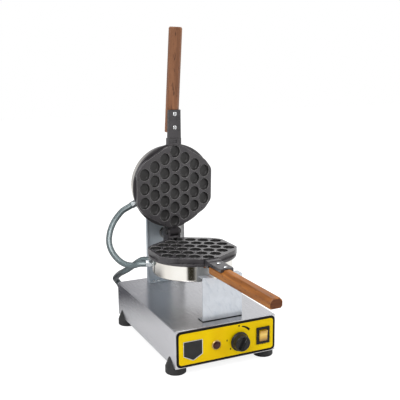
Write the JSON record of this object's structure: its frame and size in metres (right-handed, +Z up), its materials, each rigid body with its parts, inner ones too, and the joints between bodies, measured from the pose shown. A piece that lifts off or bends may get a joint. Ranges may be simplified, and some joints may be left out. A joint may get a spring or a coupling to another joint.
{
  "type": "rotating bubble waffle maker",
  "caption": "Electric bubble waffle iron: hinged dimpled plates with wooden handles turn on a shaft above a steel box that carries a thermostat knob, lamp and rocker switch.",
  "frame": {"origin": "centre of the bounding box on the standing surface, conduits left out", "axes": "+Z up, along the open lid; +Y from the control panel to the rear upright; +X to the right of someone facing the controls"},
  "size_m": [0.2722, 0.5544, 0.6621],
  "materials": {
    "base_steel": "brushed stainless sheet, satin, grain along the length of the box",
    "shell_steel": "spun stainless cup, bright, with a fine turned grain",
    "zinc_sheet": "folded zinc-plated sheet, cool grey, scuffed",
    "turned_steel": "turned steel, plain",
    "screw_steel": "bright plated fasteners",
    "bright_trim": "bright plated lamp ring",
    "cast_plate": "cast aluminium under a matt black non-stick coating, rims worn a little lighter",
    "wood": "oiled hardwood, straight grain, warm brown",
    "rubber": "moulded black rubber",
    "panel_yellow": "yellow printed panel with a black border, satin",
    "badge": "blank black shield with a silver rim",
    "black_plastic": "moulded black plastic",
    "knob_plastic": "moulded black knob, satin",
    "lamp_red": "dark red clear lens",
    "rocker_amber": "clear amber rocker, lit",
    "conduit": "grey braided conduit over insulated wires",
    "fitting_metal": "plated conduit fittings",
    "insulation": "pressed mineral fibre disc",
    "heater_sheath": "oxidised heater sheath",
    "ivory_block": "ivory terminal block"
  },
  "bodies": {
    "base": {"badge_plate": "badge", "base_floor": "base_steel", "base_shell": "base_steel", "bush_nut": "screw_steel", "cable_inlet": "black_plastic", "elbow_locknut": "screw_steel", "floor_screw_1": "screw_steel", "floor_screw_2": "screw_steel", "floor_screw_3": "screw_steel", "floor_screw_4": "screw_steel", "foot_front_left": "rubber", "foot_front_right": "rubber", "foot_rear_left": "rubber", "foot_rear_right": "rubber", "front_panel": "panel_yellow", "front_rest": "zinc_sheet", "inlet_locknut": "screw_steel", "lamp_bezel": "bright_trim", "lamp_lens": "lamp_red", "rear_upright": "zinc_sheet", "rest_screw_1": "screw_steel", "rest_screw_2": "screw_steel", "shaft_bush": "turned_steel", "supply_elbow": "fitting_metal", "supply_hose": "conduit", "switch_housing": "black_plastic", "terminal_block": "ivory_block", "thermostat_body": "black_plastic", "thermostat_nut": "screw_steel", "upright_screw_1": "screw_steel", "upright_screw_2": "screw_steel", "upright_screw_3": "screw_steel", "upright_screw_4": "screw_steel"},
    "rotor": {"lower_plate": "cast_plate", "lower_shell": "shell_steel", "lower_shell_screw": "screw_steel", "lower_heater": "heater_sheath", "lower_insulation": "insulation", "lower_handle": "wood", "lower_handle_screw_near": "screw_steel", "lower_handle_screw_far": "screw_steel", "rotor_shaft": "turned_steel", "shaft_nut": "turned_steel", "hinge_pin": "screw_steel", "hinge_nut": "screw_steel", "lower_link_fitting": "fitting_metal", "supply_fitting": "fitting_metal", "link_hose": "conduit"},
    "lid": {"upper_plate": "cast_plate", "upper_shell": "shell_steel", "upper_shell_screw": "screw_steel", "upper_heater": "heater_sheath", "upper_insulation": "insulation", "upper_handle": "wood", "upper_handle_screw_near": "screw_steel", "upper_handle_screw_far": "screw_steel", "upper_link_fitting": "fitting_metal"},
    "knob": {"thermostat_knob": "knob_plastic", "thermostat_spindle": "turned_steel"},
    "rocker": {"switch_rocker": "rocker_amber"}
  },
  "joints": [
    {"name": "rotor_spin", "type": "hinge", "parent": "base", "child": "rotor", "pos_m": [0, 0.21475, 0.2055], "axis": [0, 1, 0], "range_deg": [0, 90], "deforming": ["supply_hose"]},
    {"name": "lid_hinge", "type": "hinge", "parent": "rotor", "child": "lid", "pos_m": [0, 0.16725, 0.2173], "axis": [1, 0, 0], "range_deg": [0, 87.5], "deforming": ["link_hose"]},
    {"name": "knob_turn", "type": "hinge", "parent": "base", "child": "knob", "pos_m": [0.026, -0.09725, 0.0515], "axis": [0, 1, 0], "range_deg": [-25, 255]},
    {"name": "rocker_tilt", "type": "hinge", "parent": "base", "child": "rocker", "pos_m": [0.0795, -0.09755, 0.054], "axis": [1, 0, 0], "range_deg": [-14, 0]}
  ]
}
